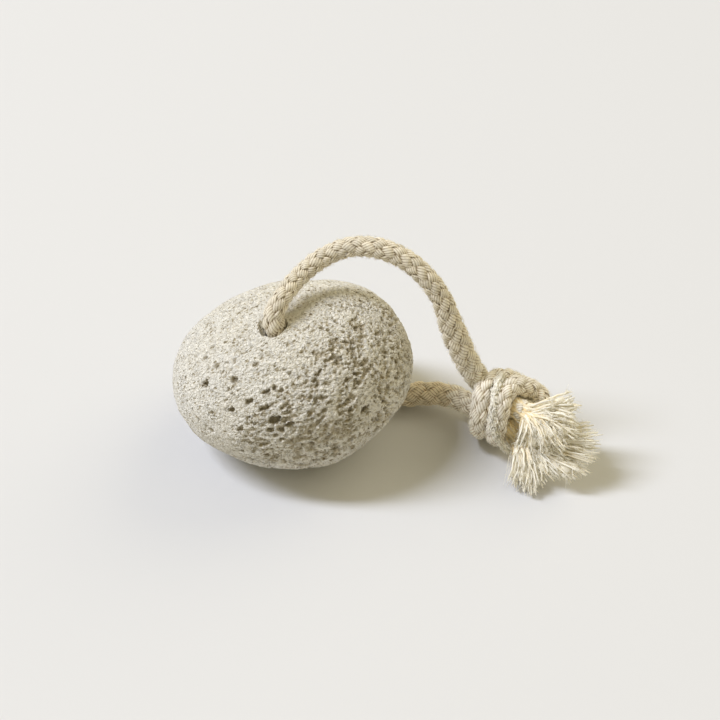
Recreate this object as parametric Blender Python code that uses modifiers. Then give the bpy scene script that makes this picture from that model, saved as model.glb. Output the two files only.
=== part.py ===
"""Pumice stone on a cotton rope, lying on its worn underside.

The stone is a tumbled, pitted pebble with one hole drilled right through it.
A braided cotton rope runs through the hole, arches over to the right, and its
two ends are tied together in one overhand knot, past which both are frayed.

Metres, +Z up. The origin is on the ground, under the middle of the stone.
"""

import math
import random

import bmesh
import bpy
from mathutils import Matrix, Vector, noise

MM = 0.001

# Stone: half its length, depth and height, in mm, before the lumps and the tilt.
STONE_HALF = (38.4, 33.4, 27.0)
STONE_CENTRE = (-0.8, 0.4, 26.4)
STONE_TILT = math.radians(-8.0)
STONE_FULLNESS = 2.12
STONE_SUBDIVISIONS = 5

# Broad lumps and hollows of the stone: direction, height in mm, width in radians.
LUMPS = (
    ((0.78, 0.05, 0.62), 1.7, 0.50),
    ((-0.62, 0.52, 0.60), -3.7, 0.62),
    ((0.22, 0.72, 0.66), -2.4, 0.45),
    ((0.28, -0.70, -0.66), 1.8, 0.50),
    ((-0.70, -0.60, -0.38), -1.0, 0.34),
    ((0.97, -0.15, 0.00), 1.2, 0.40),
    ((0.80, -0.30, -0.60), -1.2, 0.40),
    ((0.30, 0.90, -0.30), -0.8, 0.40),
    ((-0.70, 0.30, -0.65), -0.8, 0.40),
)

# Pits: how many, their half width in mm, and how much longer than wide they are.
PIT_COUNT = 420
PIT_HALF_WIDTH = (1.2, 2.1)
PIT_STRETCH = 1.5
PIT_DEPTH = 0.95
PIT_SEED = 11
REFINED_RIM = 0.5
FLOW = Vector((0.86, 0.12, 0.50)).normalized()
UNDERSIDE_KEPT = 13.0

# The largest pits: degrees round from +X towards +Y, degrees up, and half width in mm.
LARGE_PITS = (
    (-154, 38, 1.1),
    (-140, 39, 1.1),
    (-141, 28, 1.3),
    (-122, 37, 1.3),
    (-108, 48, 1.1),
    (-98, 33, 1.2),
    (-91, 34, 1.2),
    (-109, 27, 1.2),
    (-99, 24, 1.3),
    (-119, 21, 1.3),
    (-94, 17, 1.8),
    (-86, 14, 1.3),
    (-91, 11, 1.3),
    (-97, 11, 1.2),
    (-114, 11, 1.1),
    (-74, 18, 1.1),
    (-66, 17, 1.1),
    (-16, 40, 1.3),
    (11, 27, 1.6),
    (-41, 26, 1.2),
    (-37, 23, 1.1),
    (-65, 24, 1.2),
    (-46, 7, 1.5),
    (-77, -16, 1.4),
    (-102, -7, 1.3),
)

# Rope and hole. The top mouth is worn wider, to its radius and over its depth; the hole's
# line runs on to a point above the stone, and back to where it has left the stone's side.
ROPE_RADIUS = 4.0
HOLE_RADIUS = 4.5
TOP_MOUTH = (-5.9, -5.6, 52.0)
MOUTH_RADIUS = 5.1
MOUTH_DEPTH = 2.5
BORE_TOP = (-5.9, -6.6, 60.0)
BORE_END_X = 34.0
JOINT_GAP = 0.6
TUBE_STEP = 6.5

# Route of the rope from the middle of the hole, out of the top and down to the knot: each
# point and the rope's radius there, in mm. It is drawn thin out of the hole and is fuller
# towards the knot.
ARCH_ROUTE = (
    (6.5, 1.5, 30.0, 3.4),
    (2.0, -1.5, 38.0, 3.3),
    (-2.5, -4.0, 45.5, 3.2),
    (-5.0, -5.8, 52.0, 3.1),
    (-4.6, -5.0, 56.5, 3.1),
    (-2.6, -2.5, 59.5, 3.1),
    (0.0, 1.5, 61.0, 3.2),
    (3.0, 5.5, 62.0, 3.2),
    (7.0, 9.0, 63.8, 3.3),
    (12.5, 12.0, 65.5, 3.3),
    (18.5, 13.0, 67.5, 3.4),
    (25.0, 12.5, 68.0, 3.5),
    (31.0, 11.5, 67.0, 3.5),
    (37.5, 9.5, 64.0, 3.5),
    (43.0, 7.0, 59.5, 3.5),
    (47.5, 5.0, 52.5, 3.6),
    (50.2, 3.5, 44.5, 4.1),
    (53.0, 2.0, 37.0, 4.4),
    (56.0, 1.0, 29.8, 4.3),
)

# Route from the middle of the hole out of its lower mouth and along the ground to the knot.
RETURN_ROUTE = (
    (6.5, 1.5, 30.0, 3.4),
    (11.5, 4.5, 22.0, 3.5),
    (16.0, 7.5, 14.5, 3.6),
    (21.5, 9.5, 8.5, 3.8),
    (28.5, 10.5, 5.0, 4.1),
    (37.0, 9.5, 5.0, 4.3),
    (46.0, 9.0, 6.0, 4.2),
    (53.0, 6.5, 7.0, 4.1),
)

# The knot: its middle, the heading of its axis, and the rope's two routes in it.
# Each point is (mm along the axis, mm from the axis, degrees round it from the top
# towards the front, rope radius in mm).
KNOT_CENTRE = (69.0, -4.7, 13.0)
KNOT_HEADING = math.radians(-33.0)
KNOT_FROM_ARCH = (
    (-10.0, 8.2, 2, 4.0),
    (-5.5, 4.6, 4, 3.4),
    (-0.5, 3.0, -8, 2.9),
    (4.5, 3.3, -50, 2.9),
    (8.3, 5.6, -84, 3.1),
    (8.8, 8.4, -78, 3.4),
    (6.2, 9.3, -62, 3.6),
    (3.4, 9.3, -40, 3.6),
    (1.0, 9.3, -14, 3.6),
    (0.5, 9.2, 16, 3.6),
    (1.4, 9.2, 48, 3.6),
    (2.0, 9.2, 80, 3.6),
    (1.6, 9.2, 112, 3.6),
    (0.8, 9.2, 144, 3.6),
    (-0.4, 9.2, 178, 3.6),
    (-2.2, 9.0, 212, 3.5),
    (-4.2, 7.8, 244, 3.3),
    (-5.4, 5.2, 276, 3.0),
    (-3.4, 3.0, 320, 2.9),
    (0.6, 3.2, 372, 3.1),
    (4.4, 4.2, 374, 3.4),
    (8.0, 4.6, 376, 3.6),
)
KNOT_FROM_RETURN = (
    (-10.4, 5.2, 178, 3.8),
    (-6.0, 3.9, 186, 3.3),
    (-2.2, 3.6, 212, 2.9),
    (1.2, 5.4, 254, 3.0),
    (2.4, 8.2, 276, 3.4),
    (0.4, 9.3, 298, 3.6),
    (-2.6, 9.3, 320, 3.6),
    (-5.0, 9.3, 346, 3.6),
    (-6.3, 9.2, 376, 3.6),
    (-5.0, 9.2, 408, 3.6),
    (-4.2, 9.2, 440, 3.6),
    (-4.4, 9.2, 472, 3.6),
    (-5.4, 9.2, 504, 3.6),
    (-6.6, 9.2, 538, 3.6),
    (-8.4, 9.0, 572, 3.5),
    (-10.2, 7.4, 602, 3.2),
    (-9.6, 4.4, 640, 2.9),
    (-5.6, 2.6, 720, 2.8),
    (-1.6, 3.4, 800, 2.9),
    (2.4, 4.6, 838, 3.2),
    (6.2, 6.0, 856, 3.6),
)
KNOT_VOXEL = 0.7
KNOT_TRIANGLES = 1500

# Frayed ends: tips of the locks of loose yarn past the knot, in mm. A stub of whole rope,
# from and to so far past the knot's last point, joins the locks of one end.
UPPER_TIPS = (
    (90.0, -11.0, 26.0),
    (92.5, -15.0, 24.0),
    (90.5, -18.0, 22.0),
    (87.5, -22.0, 19.5),
    (84.5, -24.5, 17.5),
    (81.5, -24.0, 16.0),
    (79.0, -20.5, 14.5),
    (85.5, -13.0, 25.0),
    (85.0, -18.0, 22.0),
    (82.0, -18.5, 18.0),
)
LOWER_TIPS = (
    (97.0, -18.0, 18.5),
    (99.0, -21.0, 18.5),
    (98.5, -23.5, 16.5),
    (98.0, -25.5, 14.5),
    (97.5, -27.5, 12.5),
    (95.0, -30.0, 9.5),
    (92.0, -31.5, 8.0),
    (89.0, -31.0, 7.0),
    (85.5, -29.5, 6.5),
    (82.5, -29.5, 5.5),
    (79.0, -31.0, 3.5),
    (76.0, -33.0, 2.5),
    (73.0, -31.5, 2.5),
    (69.5, -29.0, 2.5),
    (77.0, -23.5, 5.0),
    (91.0, -25.0, 9.5),
)
LOCK_RADII = (2.4, 2.8, 2.5, 1.6)
LOCK_RISE = 1.0
STUB_REACH = (1.0, 5.0)
STUB_RADIUS = 3.2
FRAY_VOXEL = 0.9
FRAY_TRIANGLES = 620

STONE_COLOUR = (0.56, 0.51, 0.40, 1.0)
ROPE_COLOUR = (0.66, 0.58, 0.43, 1.0)
FRAY_COLOUR = (0.78, 0.70, 0.52, 1.0)


def clear_scene():
    for thing in list(bpy.data.objects):
        bpy.data.objects.remove(thing, do_unlink=True)


def collection(name):
    made = bpy.data.collections.new(name)
    bpy.context.scene.collection.children.link(made)
    return made


def plain_material(name, colour, roughness):
    made = bpy.data.materials.new(name)
    made.use_nodes = True
    shader = made.node_tree.nodes["Principled BSDF"]
    shader.inputs["Base Color"].default_value = colour
    shader.inputs["Roughness"].default_value = roughness
    shader.inputs["Metallic"].default_value = 0.0
    return made


def stone_surface(direction):
    """Point of the smooth stone that lies in that direction from its centre, in mm."""
    parts = (abs(d / half) for d, half in zip(direction, STONE_HALF))
    reach = sum(p**STONE_FULLNESS for p in parts) ** (-1.0 / STONE_FULLNESS)
    for towards, height, width in LUMPS:
        off = direction.angle(Vector(towards))
        reach += height * math.exp(-((off / width) ** 2))
    tilted = Matrix.Rotation(STONE_TILT, 3, "Y") @ (direction * reach)
    tilted += tilted.normalized() * 0.45 * noise.noise(tilted / 7.0)
    return tilted + Vector(STONE_CENTRE)


def random_direction(rng):
    height = rng.uniform(-1.0, 1.0)
    turn = rng.uniform(0.0, math.tau)
    flat = math.sqrt(1.0 - height * height)
    return Vector((flat * math.cos(turn), flat * math.sin(turn), height))


def at_angles(around, up):
    """Unit vector so many degrees round from +X towards +Y and up from the level."""
    around, up = math.radians(around), math.radians(up)
    return Vector((math.cos(up) * math.cos(around), math.cos(up) * math.sin(around), math.sin(up)))


def large_pits():
    """The largest pits as (middle on the surface, half width)."""
    return [(stone_surface(at_angles(around, up)), half) for around, up, half in LARGE_PITS]


def small_pits():
    """The other pits as (middle on the surface, half width), the wide ones few."""
    rng = random.Random(PIT_SEED)
    narrow, wide = PIT_HALF_WIDTH
    made = []
    while len(made) < PIT_COUNT:
        middle = stone_surface(random_direction(rng))
        half = narrow + (wide - narrow) * rng.random() ** 2.5
        flat_side = middle.z < 3.0 and math.hypot(middle.x, middle.y) < UNDERSIDE_KEPT
        if not flat_side:
            made.append((middle, half))
    return made


def pitted(point, inward, all_pits):
    """The point moved into each pit that it lies in."""
    depth = 0.0
    for middle, half in all_pits:
        offset = point - middle
        if offset.length > half * PIT_STRETCH:
            continue
        along = offset.dot(FLOW) / PIT_STRETCH
        across = math.sqrt(max(0.0, offset.length_squared - (along * PIT_STRETCH) ** 2))
        near = math.hypot(along, across) / half
        if near < 1.0:
            depth = max(depth, PIT_DEPTH * half * math.sqrt(1.0 - near * near))
    return point + inward * depth


def refine(shape, places):
    """Smaller faces on a unit sphere where those pits of the stone will be."""
    near = set()
    for face in shape.faces:
        middle = stone_surface(face.calc_center_median().normalized())
        for place, half in places:
            if (middle - place).length < half + REFINED_RIM:
                near.update(face.edges)
    bmesh.ops.subdivide_edges(shape, edges=list(near), cuts=1, use_grid_fill=True)
    bmesh.ops.triangulate(shape, faces=shape.faces)


def stone_mesh():
    shape = bmesh.new()
    bmesh.ops.create_icosphere(shape, subdivisions=STONE_SUBDIVISIONS, radius=1.0)
    large = large_pits()
    refine(shape, large)
    all_pits = large + small_pits()
    centre = Vector(STONE_CENTRE)
    for corner in shape.verts:
        point = stone_surface(corner.co.normalized())
        point = pitted(point, (centre - point).normalized(), all_pits)
        point.z = max(point.z, 0.0)
        corner.co = point * MM
    mesh = bpy.data.meshes.new("pumice_stone")
    shape.to_mesh(mesh)
    shape.free()
    return mesh


def knot_point(along, out, degrees):
    """World point, in mm, of a place given round the knot's axis."""
    axis = Vector((math.cos(KNOT_HEADING), math.sin(KNOT_HEADING), 0.0))
    front = Vector((math.sin(KNOT_HEADING), -math.cos(KNOT_HEADING), 0.0))
    turn = math.radians(degrees)
    ring = Vector((0.0, 0.0, math.cos(turn))) + front * math.sin(turn)
    return Vector(KNOT_CENTRE) + axis * along + ring * out


def smooth_line(points, step):
    """Points about a step apart on the centripetal Catmull-Rom curve through rows of
    (x, y, z, radius)."""
    first = [2 * a - b for a, b in zip(points[0], points[1])]
    last = [2 * a - b for a, b in zip(points[-1], points[-2])]
    rows = [Vector(p) for p in (first, *points, last)]
    line = [rows[1]]
    for a, b, c, d in zip(rows, rows[1:], rows[2:], rows[3:]):
        t1 = (b - a).xyz.length ** 0.5
        t2 = t1 + (c - b).xyz.length ** 0.5
        t3 = t2 + (d - c).xyz.length ** 0.5
        count = max(1, round((c - b).xyz.length / step))
        for i in range(1, count + 1):
            t = t1 + (t2 - t1) * i / count
            ab = a * ((t1 - t) / t1) + b * (t / t1)
            bc = b * ((t2 - t) / (t2 - t1)) + c * ((t - t1) / (t2 - t1))
            cd = c * ((t3 - t) / (t3 - t2)) + d * ((t - t2) / (t3 - t2))
            left = ab * ((t2 - t) / t2) + bc * (t / t2)
            right = bc * ((t3 - t) / (t3 - t1)) + cd * ((t - t1) / (t3 - t1))
            line.append(left * ((t2 - t) / (t2 - t1)) + right * ((t - t1) / (t2 - t1)))
    return line


def rope_lines():
    """The rope as four stretches of one smooth line: arch, return, and each one's knot part."""
    found = []
    for route, knot in ((ARCH_ROUTE, KNOT_FROM_ARCH), (RETURN_ROUTE, KNOT_FROM_RETURN)):
        tied = [(*knot_point(a, r, turn), radius) for a, r, turn, radius in knot]
        line = smooth_line(route + tuple(tied), 1.0)
        end = Vector(route[-1][:3])
        split = min(range(len(line)), key=lambda i: (line[i].xyz - end).length)
        found.append((line[: split + 1], line[split:]))
    return found


def thinned(line, step):
    """Every few points of a line, so that they are about a step apart, ends kept."""
    count = max(1, round((len(line) - 1) / step))
    return [line[round(i * (len(line) - 1) / count)] for i in range(count + 1)]


def shortened(line, start, end):
    """The line with its first and last points moved inwards by so many mm."""
    line = [row.copy() for row in line]
    for near, second, cut in ((0, 1, start), (-1, -2, end)):
        towards = (line[second].xyz - line[near].xyz).normalized() * cut
        line[near].xyz = line[near].xyz + towards
    return line


def tube(name, line, group, resolution):
    """A round tube along rows of (x, y, z, radius), as a curve with filled caps."""
    curve = bpy.data.curves.new(name, "CURVE")
    curve.dimensions = "3D"
    curve.bevel_depth = ROPE_RADIUS * MM
    curve.bevel_resolution = resolution
    curve.use_fill_caps = True
    spline = curve.splines.new("POLY")
    spline.points.add(len(line) - 1)
    for place, row in zip(spline.points, line):
        place.co = (*(row.xyz * MM), 1.0)
        place.radius = row.w / ROPE_RADIUS
    made = bpy.data.objects.new(name, curve)
    group.objects.link(made)
    return made


def as_mesh(thing, group):
    """The same shape as a mesh object with its caps welded on."""
    bpy.context.view_layer.update()
    seen = thing.evaluated_get(bpy.context.evaluated_depsgraph_get())
    mesh = bpy.data.meshes.new_from_object(seen)
    shape = bmesh.new()
    shape.from_mesh(mesh)
    bmesh.ops.remove_doubles(shape, verts=shape.verts, dist=1e-6)
    bmesh.ops.recalc_face_normals(shape, faces=shape.faces)
    shape.to_mesh(mesh)
    shape.free()
    made = bpy.data.objects.new(thing.name + "_mesh", mesh)
    made.matrix_world = thing.matrix_world
    group.objects.link(made)
    bpy.data.objects.remove(thing, do_unlink=True)
    return made


def fused(name, tubes, voxel, triangles, group):
    """One closed body grown together from overlapping tubes."""
    shape = bmesh.new()
    for piece in tubes:
        shape.from_mesh(piece.data)
        bpy.data.objects.remove(piece, do_unlink=True)
    mesh = bpy.data.meshes.new(name)
    shape.to_mesh(mesh)
    shape.free()
    made = bpy.data.objects.new(name, mesh)
    group.objects.link(made)
    remesh = made.modifiers.new("fuse", "REMESH")
    remesh.mode = "VOXEL"
    remesh.voxel_size = voxel * MM
    bpy.context.view_layer.update()
    seen = made.evaluated_get(bpy.context.evaluated_depsgraph_get())
    count = sum(len(face.vertices) - 2 for face in seen.to_mesh().polygons)
    thin = made.modifiers.new("fewer faces", "DECIMATE")
    thin.ratio = triangles / count
    return made


def cutter_style(thing):
    thing.display_type = "WIRE"
    thing.hide_render = True


def mouth_cutter(name, mouth, beyond, group):
    """A cone that opens the hole's mouth, from there towards the point beyond it."""
    cone = bmesh.new()
    bmesh.ops.create_cone(
        cone,
        cap_ends=True,
        segments=20,
        radius1=HOLE_RADIUS * MM,
        radius2=(2 * MOUTH_RADIUS - HOLE_RADIUS) * MM,
        depth=2 * MOUTH_DEPTH * MM,
    )
    mesh = bpy.data.meshes.new(name)
    cone.to_mesh(mesh)
    cone.free()
    made = bpy.data.objects.new(name, mesh)
    made.location = mouth * MM
    made.rotation_euler = (beyond - mouth).to_track_quat("Z", "Y").to_euler()
    group.objects.link(made)
    cutter_style(made)
    return made


def hole_line(back):
    """The drilled hole's line, from past its lower end to past its top mouth."""
    lower = [row.xyz for row in thinned(back, TUBE_STEP) if row.x < BORE_END_X]
    upper = [Vector(row[:3]) for row in ARCH_ROUTE[1:4]]
    places = list(reversed(lower)) + upper + [Vector(BORE_TOP)]
    return [Vector((*place, HOLE_RADIUS)) for place in places]


def make_stone(parts, cutters, back):
    stone = bpy.data.objects.new("pumice_stone", stone_mesh())
    parts.objects.link(stone)
    stone.data.materials.append(plain_material("pumice", STONE_COLOUR, 0.95))
    hole = as_mesh(tube("hole", hole_line(back), cutters, 4), cutters)
    cutter_style(hole)
    top = mouth_cutter("top_mouth", Vector(TOP_MOUTH), Vector(BORE_TOP), cutters)
    for cutter in (hole, top):
        cut = stone.modifiers.new(cutter.name, "BOOLEAN")
        cut.operation = "DIFFERENCE"
        cut.solver = "EXACT"
        cut.object = cutter
    return stone


def make_free_rope(name, line, parts, cloth):
    made = tube(name, shortened(thinned(line, TUBE_STEP), JOINT_GAP / 2, JOINT_GAP), parts, 3)
    made.data.materials.append(cloth)
    return made


def make_knot(tied, parts, cloth):
    tubes = []
    for number, line in enumerate(tied):
        route = shortened(thinned(line, 2.0), JOINT_GAP, 0.0)
        tubes.append(as_mesh(tube(f"tied_{number}", route, parts, 3), parts))
    knot = fused("rope_knot", tubes, KNOT_VOXEL, KNOT_TRIANGLES, parts)
    knot.data.materials.append(cloth)
    return knot


def lock_line(root, heading, tip):
    """A lock of yarn: out of the rope's end along its heading, then over to its tip."""
    reach = (tip - root).length
    middle = root.lerp(tip, 0.45) + heading * 0.18 * reach + Vector((0.0, 0.0, LOCK_RISE))
    late = root.lerp(tip, 0.8) + Vector((0.0, 0.0, 0.4 * LOCK_RISE))
    stops = (root, middle, late, tip)
    rows = [(*point, radius) for point, radius in zip(stops, LOCK_RADII)]
    return smooth_line(rows, 4.0)


def make_frayed_end(name, tied, tips, parts, cloth):
    last, before = tied[-1].xyz, tied[-4].xyz
    heading = (last - before).normalized()
    root = last + heading * (LOCK_RADII[0] + STUB_REACH[0])
    stub = [Vector((*(last + heading * reach), STUB_RADIUS)) for reach in STUB_REACH]
    tubes = [as_mesh(tube("stub", stub, parts, 2), parts)]
    for number, tip in enumerate(tips):
        line = lock_line(root, heading, Vector(tip))
        tubes.append(as_mesh(tube(f"lock_{number}", line, parts, 2), parts))
    end = fused(name, tubes, FRAY_VOXEL, FRAY_TRIANGLES, parts)
    end.data.materials.append(cloth)
    return end


def main():
    clear_scene()
    parts = collection("pumice_stone_on_rope")
    cutters = collection("cutters")
    rope = plain_material("cotton_rope", ROPE_COLOUR, 0.9)
    yarn = plain_material("loose_yarn", FRAY_COLOUR, 0.95)
    (arch, from_arch), (back, from_return) = rope_lines()
    make_stone(parts, cutters, back)
    make_free_rope("rope_arch", arch, parts, rope)
    make_free_rope("rope_return", back, parts, rope)
    make_knot((from_arch, from_return), parts, rope)
    make_frayed_end("frayed_end_upper", from_arch, UPPER_TIPS, parts, yarn)
    make_frayed_end("frayed_end_lower", from_return, LOWER_TIPS, parts, yarn)


main()
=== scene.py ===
"""Looks of a pumice stone on a cotton rope: its pores, the braid, the knot and the frayed ends.

Lengths in the tables are in mm and are turned into metres by MM where a shape is made.
"""

import math
import random

import bmesh
import bpy
import numpy as np
from mathutils import Matrix, Vector, noise
from mathutils.kdtree import KDTree


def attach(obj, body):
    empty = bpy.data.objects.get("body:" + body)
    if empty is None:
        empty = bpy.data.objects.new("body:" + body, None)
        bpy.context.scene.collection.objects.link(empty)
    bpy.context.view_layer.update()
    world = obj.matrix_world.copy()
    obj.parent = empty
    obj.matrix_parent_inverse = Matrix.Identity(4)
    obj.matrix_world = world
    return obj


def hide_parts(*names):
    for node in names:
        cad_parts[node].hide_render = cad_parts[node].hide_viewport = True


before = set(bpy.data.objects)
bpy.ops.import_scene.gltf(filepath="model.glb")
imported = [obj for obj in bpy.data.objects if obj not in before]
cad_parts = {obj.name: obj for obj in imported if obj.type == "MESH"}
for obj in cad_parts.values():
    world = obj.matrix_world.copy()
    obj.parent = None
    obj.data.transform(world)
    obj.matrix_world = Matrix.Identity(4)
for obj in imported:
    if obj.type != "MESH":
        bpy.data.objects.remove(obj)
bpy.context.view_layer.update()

MM = 0.001

# Camera: what it looks at, how far off it stands, and its lens, all in mm.
LOOKED_AT = Vector((21.8, 0.0, 30.8))
CAMERA_RISE = math.radians(45.0)
CAMERA_LENS = 90.0
SENSOR_WIDTH = 36.0
PIXELS_PER_MM = 3.12
FRAME_PIXELS = 720

# Floor and lights, in metres. The key light is a tall strip, so the shadows have one sharp side.
FLOOR_SIZE = 6.0
FLOOR_GREY = 0.72
KEY_TOWARDS = (-0.615, 0.045, 0.787)
KEY_DISTANCE = 6.0
KEY_WIDTH = 0.84
KEY_HEIGHT = 3.3
KEY_ENERGY = 352.0
KEY_COLOUR = (0.82, 0.86, 1.0)
WARM_COLOUR = (1.0, 0.92, 0.70)
SKY_COLOUR = (1.0, 0.90, 0.60, 1.0)
SKY_STRENGTH = 0.35

# The two soft lights: direction towards each, strength, and how wide it is in degrees.
SOFT_LIGHTS = {
    "fill": ((0.75, 0.15, 0.64), 0.38, 80.0),
    "behind": ((0.62, 0.55, 0.56), 0.75, 50.0),
}

# Stone: the same form as the solid has.
STONE_HALF = (38.4, 33.4, 27.0)
STONE_CENTRE = (-0.8, 0.4, 26.4)
STONE_TILT = math.radians(-8.0)
STONE_FULLNESS = 2.12
STONE_CUTS = 125
FINER_SIDE = np.array((0.0, -0.15, 0.20))
GRAIN_STRETCH = 1.6
FROTH_NOISES = ((2.1, 0.14), (0.9, 0.12), (0.45, 0.24))
LUMPS = (
    ((0.78, 0.05, 0.62), 1.7, 0.50),
    ((-0.62, 0.52, 0.60), -3.7, 0.62),
    ((0.22, 0.72, 0.66), -2.4, 0.45),
    ((0.28, -0.70, -0.66), 1.8, 0.50),
    ((-0.70, -0.60, -0.38), -1.0, 0.34),
    ((0.97, -0.15, 0.00), 1.2, 0.40),
    ((0.80, -0.30, -0.60), -1.2, 0.40),
    ((0.30, 0.90, -0.30), -0.8, 0.40),
    ((-0.70, 0.30, -0.65), -0.8, 0.40),
)

# Pits: the gas bubbles that the stone's surface cuts open, drawn out along one direction.
FLOW = np.array((0.86, 0.12, 0.50)) / np.linalg.norm((0.86, 0.12, 0.50))
UNDERSIDE_KEPT = 13.0
DEEPEST_PIT = 3.0
FINE_PITS = 9000
FINE_HALF_WIDTH = (0.22, 0.85)
PIT_SEED = 7

# The largest pits: degrees round from +X towards +Y, degrees up, half width in mm and stretch.
LARGE_PITS = (
    (-157, 44, 0.55, 2.0),
    (-154, 38, 0.8, 1.3),
    (-140, 39, 0.75, 1.2),
    (-133, 38, 0.6, 1.3),
    (-141, 28, 1.15, 1.3),
    (-122, 37, 1.05, 1.1),
    (-134, 44, 0.5, 1.2),
    (-127, 46, 0.5, 1.3),
    (-124, 53, 0.6, 2.2),
    (-108, 48, 0.7, 2.2),
    (-104, 52, 0.45, 2.2),
    (-80, 42, 0.55, 1.9),
    (-124, 31, 0.55, 1.3),
    (-98, 33, 0.85, 1.7),
    (-92, 35, 0.85, 1.5),
    (-88, 33, 0.65, 1.6),
    (-109, 27, 0.85, 2.0),
    (-99, 24, 0.9, 2.3),
    (-119, 21, 0.95, 1.2),
    (-131, 16, 0.55, 2.2),
    (-94, 17, 1.5, 1.5),
    (-86, 14, 1.0, 1.6),
    (-91, 11, 1.0, 1.3),
    (-97, 11, 0.85, 1.3),
    (-114, 11, 0.7, 1.5),
    (-74, 18, 0.7, 1.3),
    (-68, 13, 0.65, 1.3),
    (-66, 17, 0.7, 1.5),
    (-74, 27, 0.55, 1.3),
    (-92, 5, 0.75, 1.5),
    (-131, 5, 0.75, 1.6),
    (-174, 57, 0.5, 2.4),
    (-172, 45, 0.45, 2.2),
    (5, 46, 0.5, 1.9),
    (-7, 34, 0.5, 1.2),
    (-16, 40, 0.9, 1.7),
    (11, 27, 1.3, 1.2),
    (-54, 54, 0.45, 1.5),
    (-46, 36, 0.55, 2.4),
    (-31, 28, 0.65, 1.6),
    (-21, 21, 0.6, 1.2),
    (-41, 26, 0.85, 1.4),
    (-37, 23, 0.65, 1.4),
    (-42, 21, 0.7, 2.0),
    (-50, 25, 0.55, 1.2),
    (-65, 24, 0.8, 1.3),
    (-62, 20, 0.6, 2.0),
    (-46, 7, 1.2, 1.3),
    (-53, 11, 0.8, 1.2),
    (-35, 4, 0.8, 1.2),
    (-23, 9, 0.8, 1.3),
    (-77, -1, 0.8, 1.3),
    (-65, -11, 0.8, 1.4),
    (-77, -16, 1.0, 1.4),
    (-102, -7, 0.8, 1.6),
)

# Colours of the pumice: its two pale tones, and the ochre and brown laid in its grain, pores and pits,
# partly the stone's own colour and partly painted shade.
CREAM = (1.0, 0.96, 0.85, 1.0)
GREY = (0.99, 0.94, 0.81, 1.0)
OCHRE_TINT_AND_SHADE = (0.50, 0.40, 0.22, 1.0)
BROWN_STAIN_AND_SHADE = (0.12, 0.09, 0.05, 1.0)

# Where the stone is thick with pits: direction, width in radians, and how thick from 0 to 1.
PITTED_SIDES = (
    ((0.80, -0.45, 0.20), 0.95, 1.0),
    ((0.10, -0.85, -0.10), 0.70, 0.9),
    ((0.30, 0.75, -0.30), 0.90, 0.8),
    ((-0.60, 0.30, -0.70), 0.60, 0.6),
)
BARE_PITTING = 0.22

# Rope and hole.
HOLE_RADIUS = 3.9
TOP_MOUTH = (-5.9, -5.6, 52.0)
MOUTH_RADIUS = 4.7
MOUTH_DEPTH = 2.0
HOLE_TOP = ((2.0, -1.5, 38.0), (-2.6, -4.1, 45.5), (-5.2, -6.1, 52.0), (-6.2, -6.9, 60.0))
LEAD = 30.5
STRANDS_EACH_WAY = 5
YARNS = 5
HIDDEN_STEP = 2.5
BRAID_STEP = 0.55
CORE_OUT = 0.74
CORE_SIDES = 12
SHOWN_BEFORE_EXIT = 5.0

# Cottons: pale where the yarn stands out, deep in its gaps as painted shade, nap in mm, and gloss.
COTTONS = {
    "braided_cotton": ((0.95, 0.87, 0.69), (0.28, 0.18, 0.07), 0.25, 0.2),
    # Paler copy of the braided cotton: painted light on the knot.
    "lit_knot_cotton": ((1.0, 0.94, 0.80), (0.36, 0.25, 0.11), 0.25, 0.2),
    # Darker copy of the braided cotton: painted shade on the return rope.
    "shaded_cotton": ((0.94, 0.83, 0.63), (0.28, 0.17, 0.06), 0.25, 0.2),
    # Its golden deep tone is painted shade inside the frays, partly the yarn's own yellowing.
    "loose_cotton": ((1.0, 0.955, 0.82), (1.0, 0.83, 0.50), 0.1, 0.0),
}

# Route of the rope from the middle of the hole, out of the top and down to the knot: each
# point and the rope's radius there, in mm.
ARCH_ROUTE = (
    (6.5, 1.5, 30.0, 3.4),
    (2.0, -1.5, 38.0, 3.3),
    (-2.4, -4.2, 45.5, 3.5),
    (-4.7, -6.2, 52.0, 3.75),
    (-4.6, -5.0, 56.5, 3.4),
    (-2.6, -2.5, 59.5, 3.2),
    (0.0, 1.5, 61.0, 3.2),
    (3.0, 5.5, 62.0, 3.2),
    (7.0, 9.0, 63.8, 3.3),
    (12.5, 12.0, 65.5, 3.3),
    (18.5, 13.0, 67.5, 3.4),
    (25.0, 12.5, 68.0, 3.5),
    (31.0, 11.5, 67.0, 3.5),
    (37.5, 9.5, 64.0, 3.5),
    (43.0, 7.0, 59.5, 3.5),
    (47.5, 5.0, 52.5, 3.6),
    (50.2, 3.5, 44.5, 4.1),
    (53.0, 2.0, 37.0, 4.4),
    (56.0, 1.0, 29.8, 4.3),
)

# Route from the middle of the hole out of its lower mouth and along the ground to the knot.
RETURN_ROUTE = (
    (6.5, 1.5, 30.0, 3.4),
    (11.5, 4.5, 22.0, 3.5),
    (16.0, 7.5, 14.5, 3.6),
    (21.5, 9.5, 8.5, 3.8),
    (28.5, 10.5, 5.0, 4.1),
    (37.0, 9.5, 5.0, 4.3),
    (46.0, 9.0, 6.0, 4.2),
    (53.0, 6.5, 7.0, 4.1),
)
ARCH_EXIT = ARCH_ROUTE[3]
RETURN_EXIT = RETURN_ROUTE[3]

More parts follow.
